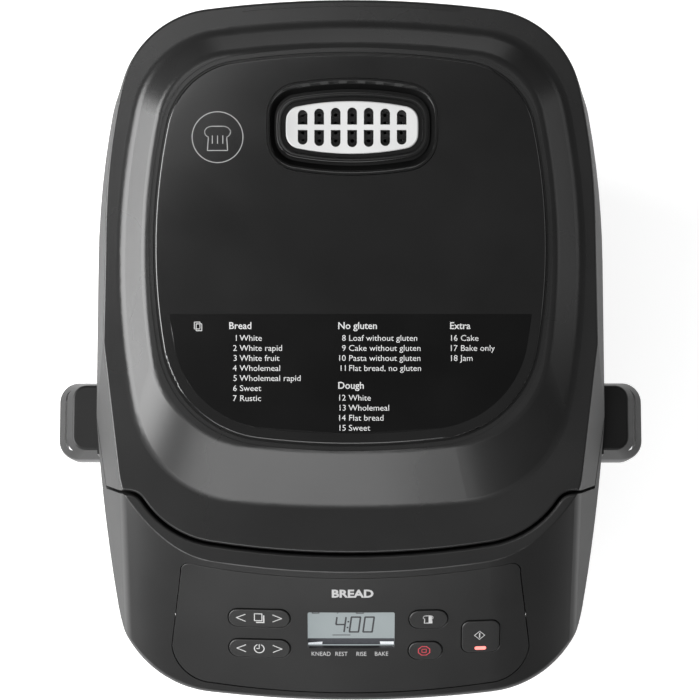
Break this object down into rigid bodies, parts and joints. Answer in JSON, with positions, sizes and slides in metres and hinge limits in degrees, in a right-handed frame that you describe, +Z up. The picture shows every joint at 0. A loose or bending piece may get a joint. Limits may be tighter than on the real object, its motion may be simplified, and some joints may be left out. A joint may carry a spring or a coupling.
{
  "type": "bread machine",
  "caption": "Countertop bread machine: tapered casing with hinged lid and steam vent, sloped key panel, side handles, lift-out pan with bail and belt-driven kneading blade.",
  "frame": {"origin": "on the worktop under the centre of the bounding box", "axes": "+Z up, +Y to the rear hinge, +X to the right seen from the front"},
  "size_m": [0.3064, 0.3623, 0.3514],
  "materials": {
    "black_plastic": "fine satin texture",
    "fascia_plastic": "fine satin texture",
    "gloss_black": "high gloss",
    "key_plastic": "satin",
    "white_plastic": "satin",
    "clear_plastic": "clear gloss",
    "lcd_grey": "satin",
    "sheet_steel": "brushed",
    "galvanised": "zinc coated",
    "aluminium": "satin",
    "bronze": "sintered",
    "steel": "ground",
    "heater_steel": "dark oxide",
    "ceramic": "glazed",
    "nonstick": "non-stick coat",
    "rubber": "matte",
    "silicone": "matte",
    "copper": "enamelled wire",
    "lamination": "stacked laminations",
    "board_green": "solder resist",
    "component_grey": "satin",
    "led_red": "clear gloss"
  },
  "bodies": {
    "housing": {"body_shell": "black_plastic", "body_deck": "black_plastic", "control_panel": "fascia_plastic", "base_plate": "galvanised", "rubber_feet": "rubber", "screws": "steel", "handle_left": "black_plastic", "handle_right": "black_plastic", "cord_gland": "black_plastic", "hinge_bracket": "black_plastic", "hinge_pin": "steel", "chassis": "galvanised", "baking_chamber": "sheet_steel", "chamber_trim": "sheet_steel", "heater_element": "heater_steel", "heater_bushes": "ceramic", "heater_clips": "sheet_steel", "temperature_sensor": "steel", "pan_seat": "aluminium", "heat_shield": "sheet_steel", "bearing_housing": "aluminium", "shaft_bushes": "bronze", "drive_belt": "rubber", "motor_stator": "lamination", "motor_windings": "copper", "motor_end_caps": "galvanised", "run_capacitor": "component_grey", "power_board": "board_green", "board_parts": "component_grey", "control_board": "board_green", "lcd_module": "lcd_grey", "lcd_window": "clear_plastic"},
    "lid": {"lid_shell": "black_plastic", "gloss_panel": "gloss_black", "vent_bezel": "gloss_black", "steam_grille": "white_plastic", "steam_duct": "black_plastic", "lid_inner_plate": "sheet_steel", "lid_frame": "black_plastic", "lid_seal": "silicone", "hinge_arm": "black_plastic"},
    "drive": {"drive_shaft": "steel", "large_pulley": "component_grey", "drive_coupling": "aluminium"},
    "motor": {"motor_rotor": "lamination", "motor_shaft": "steel", "motor_pulley": "aluminium", "motor_fan": "white_plastic"},
    "pan": {"bread_pan": "nonstick", "pan_base": "aluminium", "pan_bush": "bronze"},
    "paddle": {"paddle_shaft": "steel", "kneading_blade": "nonstick"},
    "bail": {"pan_bail": "steel"},
    "menu_rocker": {"menu_key": "key_plastic"},
    "timer_rocker": {"timer_key": "key_plastic"},
    "size_button": {"size_key": "key_plastic"},
    "stop_button": {"stop_key": "key_plastic"},
    "start_button": {"start_key": "key_plastic", "start_led_lens": "led_red"}
  },
  "joints": [
    {"name": "lid_hinge", "type": "hinge", "parent": "housing", "child": "lid", "pos_m": [0, 0.175, 0.268], "axis": [-1, 0, 0], "range_deg": [0, 95]},
    {"name": "drive_spin", "type": "hinge", "parent": "housing", "child": "drive", "pos_m": [0, -0.004, 0.05], "axis": [0, 0, 1], "continuous": true},
    {"name": "motor_spin", "type": "hinge", "parent": "housing", "child": "motor", "pos_m": [0, 0.127, 0.05], "axis": [0, 0, 1], "continuous": true},
    {"name": "pan_lift", "type": "slide", "parent": "housing", "child": "pan", "axis": [0, 0, 1], "range_m": [0, 0.045]},
    {"name": "paddle_spin", "type": "hinge", "parent": "pan", "child": "paddle", "pos_m": [0, -0.004, 0.1], "axis": [0, 0, 1], "continuous": true},
    {"name": "bail_swing", "type": "hinge", "parent": "pan", "child": "bail", "pos_m": [0, -0.004, 0.243], "axis": [1, 0, 0], "range_deg": [0, 180]},
    {"name": "menu_rock", "type": "hinge", "parent": "housing", "child": "menu_rocker", "pos_m": [-0.046, -0.14001, 0.28159], "axis": [0, 0.8211, 0.5707], "range_deg": [-2.5, 2.5], "stiffness_Nm_per_rad": 0.15},
    {"name": "timer_rock", "type": "hinge", "parent": "housing", "child": "timer_rocker", "pos_m": [-0.046, -0.15446, 0.27155], "axis": [0, 0.8211, 0.5707], "range_deg": [-2.5, 2.5], "stiffness_Nm_per_rad": 0.15},
    {"name": "size_press", "type": "slide", "parent": "housing", "child": "size_button", "axis": [0, 0.5707, -0.8211], "range_m": [0, 0.0008], "stiffness_N_per_m": 900},
    {"name": "stop_press", "type": "slide", "parent": "housing", "child": "stop_button", "axis": [0, 0.5707, -0.8211], "range_m": [0, 0.0008], "stiffness_N_per_m": 900},
    {"name": "start_press", "type": "slide", "parent": "housing", "child": "start_button", "axis": [0, 0.5707, -0.8211], "range_m": [0, 0.0008], "stiffness_N_per_m": 900}
  ],
  "couplings": [
    {"joint": "paddle_spin", "follows": "drive_spin", "ratio": 1},
    {"joint": "motor_spin", "follows": "drive_spin", "ratio": 5.4737}
  ]
}
